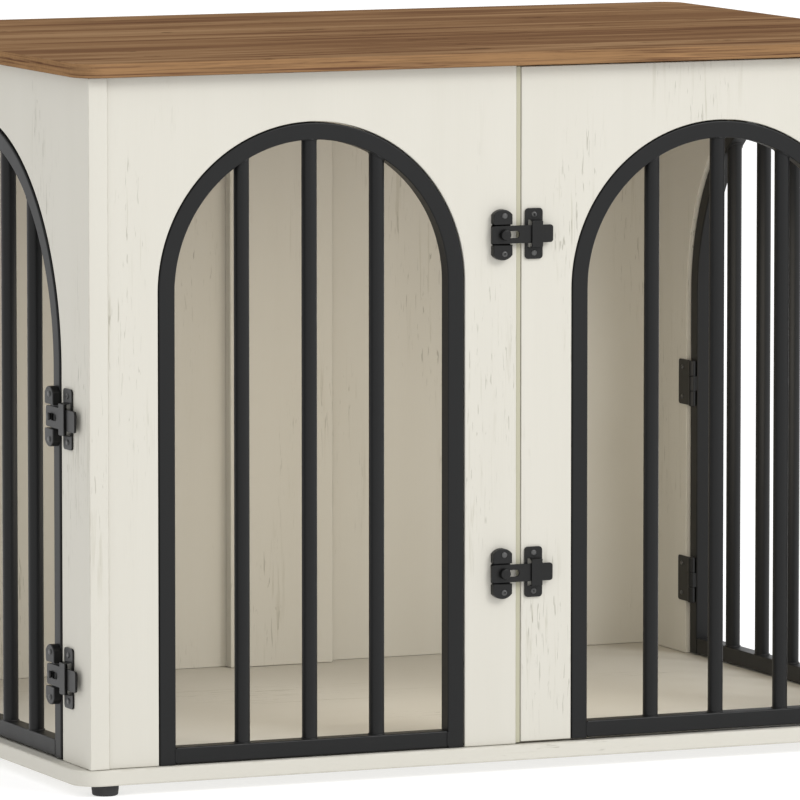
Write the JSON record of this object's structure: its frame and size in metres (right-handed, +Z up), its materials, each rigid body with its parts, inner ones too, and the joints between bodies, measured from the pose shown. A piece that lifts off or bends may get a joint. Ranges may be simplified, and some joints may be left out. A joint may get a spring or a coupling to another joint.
{
  "type": "dog crate",
  "caption": "Cabinet-style dog crate with a wooden top and base, arched steel-bar grilles, a hinged front door, two inward side doors and slide latches.",
  "frame": {"origin": "on the floor under the middle of the crate's box, at the soles of the feet", "axes": "+X to the right as the front is looked at, +Y to the back, +Z up"},
  "size_m": [0.806, 0.564, 0.613],
  "materials": {
    "walnut_laminate": "satin rustic walnut laminate, grain along X",
    "cream_laminate": "matt cream white-washed laminate with faint upright marks",
    "black_powder_coat": "satin black powder coat",
    "black_hardware": "satin black coating on pressed steel",
    "black_rubber": "matt black moulded glide"
  },
  "bodies": {
    "crate": {"top_slab": "walnut_laminate", "base_slab": "cream_laminate", "side_panel_left": "cream_laminate", "side_panel_right": "cream_laminate", "front_panel_left": "cream_laminate", "back_panel_left": "cream_laminate", "back_panel_right": "cream_laminate", "back_batten": "cream_laminate", "foot_front_left": "black_rubber", "foot_front_right": "black_rubber", "foot_back_left": "black_rubber", "foot_back_right": "black_rubber", "front_grille_frame": "black_powder_coat", "front_grille_bar_1": "black_powder_coat", "front_grille_bar_2": "black_powder_coat", "front_grille_bar_3": "black_powder_coat", "front_hinge_upper_fixed_leaf": "black_hardware", "front_hinge_lower_fixed_leaf": "black_hardware", "front_latch_upper_receiver": "black_hardware", "front_latch_lower_receiver": "black_hardware", "side_left_hinge_upper_leaf": "black_hardware", "side_left_hinge_lower_leaf": "black_hardware", "side_right_hinge_upper_leaf": "black_hardware", "side_right_hinge_lower_leaf": "black_hardware", "side_left_latch_upper_bracket": "black_hardware", "side_left_latch_lower_bracket": "black_hardware", "side_right_latch_upper_bracket": "black_hardware", "side_right_latch_lower_bracket": "black_hardware"},
    "front_door": {"front_door_panel": "cream_laminate", "front_door_grille_frame": "black_powder_coat", "front_door_bar_1": "black_powder_coat", "front_door_bar_2": "black_powder_coat", "front_door_bar_3": "black_powder_coat", "front_hinge_upper_door_leaf": "black_hardware", "front_hinge_lower_door_leaf": "black_hardware", "front_latch_upper_bracket": "black_hardware", "front_latch_lower_bracket": "black_hardware"},
    "side_door_left": {"side_left_door_frame": "black_powder_coat", "side_left_door_bar_1": "black_powder_coat", "side_left_door_bar_2": "black_powder_coat", "side_left_door_bar_3": "black_powder_coat", "side_left_door_bar_4": "black_powder_coat", "side_left_door_bar_5": "black_powder_coat", "side_left_latch_upper_receiver": "black_hardware", "side_left_latch_lower_receiver": "black_hardware"},
    "side_door_right": {"side_right_door_frame": "black_powder_coat", "side_right_door_bar_1": "black_powder_coat", "side_right_door_bar_2": "black_powder_coat", "side_right_door_bar_3": "black_powder_coat", "side_right_door_bar_4": "black_powder_coat", "side_right_door_bar_5": "black_powder_coat", "side_right_latch_upper_receiver": "black_hardware", "side_right_latch_lower_receiver": "black_hardware"},
    "front_bolt_upper": {"front_latch_upper_bolt": "black_hardware"},
    "front_bolt_lower": {"front_latch_lower_bolt": "black_hardware"},
    "left_bolt_upper": {"side_left_latch_upper_bolt": "black_hardware"},
    "left_bolt_lower": {"side_left_latch_lower_bolt": "black_hardware"},
    "right_bolt_upper": {"side_right_latch_upper_bolt": "black_hardware"},
    "right_bolt_lower": {"side_right_latch_lower_bolt": "black_hardware"}
  },
  "joints": [
    {"name": "front_door_hinge", "type": "hinge", "parent": "crate", "child": "front_door", "pos_m": [0.3732, -0.2761, 0.3], "axis": [0, 0, 1], "range_deg": [0, 110]},
    {"name": "side_door_left_hinge", "type": "hinge", "parent": "crate", "child": "side_door_left", "pos_m": [-0.3734, 0.1785, 0.18], "axis": [0, 0, 1], "range_deg": [0, 65]},
    {"name": "side_door_right_hinge", "type": "hinge", "parent": "crate", "child": "side_door_right", "pos_m": [0.3734, 0.1785, 0.18], "axis": [0, 0, -1], "range_deg": [0, 65]},
    {"name": "front_bolt_upper_slide", "type": "slide", "parent": "front_door", "child": "front_bolt_upper", "axis": [1, 0, 0], "range_m": [0, 0.0193]},
    {"name": "front_bolt_lower_slide", "type": "slide", "parent": "front_door", "child": "front_bolt_lower", "axis": [1, 0, 0], "range_m": [0, 0.0193]},
    {"name": "left_bolt_upper_slide", "type": "slide", "parent": "crate", "child": "left_bolt_upper", "axis": [0, -1, 0], "range_m": [0, 0.0188]},
    {"name": "left_bolt_lower_slide", "type": "slide", "parent": "crate", "child": "left_bolt_lower", "axis": [0, -1, 0], "range_m": [0, 0.0188]},
    {"name": "right_bolt_upper_slide", "type": "slide", "parent": "crate", "child": "right_bolt_upper", "axis": [0, -1, 0], "range_m": [0, 0.0188]},
    {"name": "right_bolt_lower_slide", "type": "slide", "parent": "crate", "child": "right_bolt_lower", "axis": [0, -1, 0], "range_m": [0, 0.0188]}
  ]
}
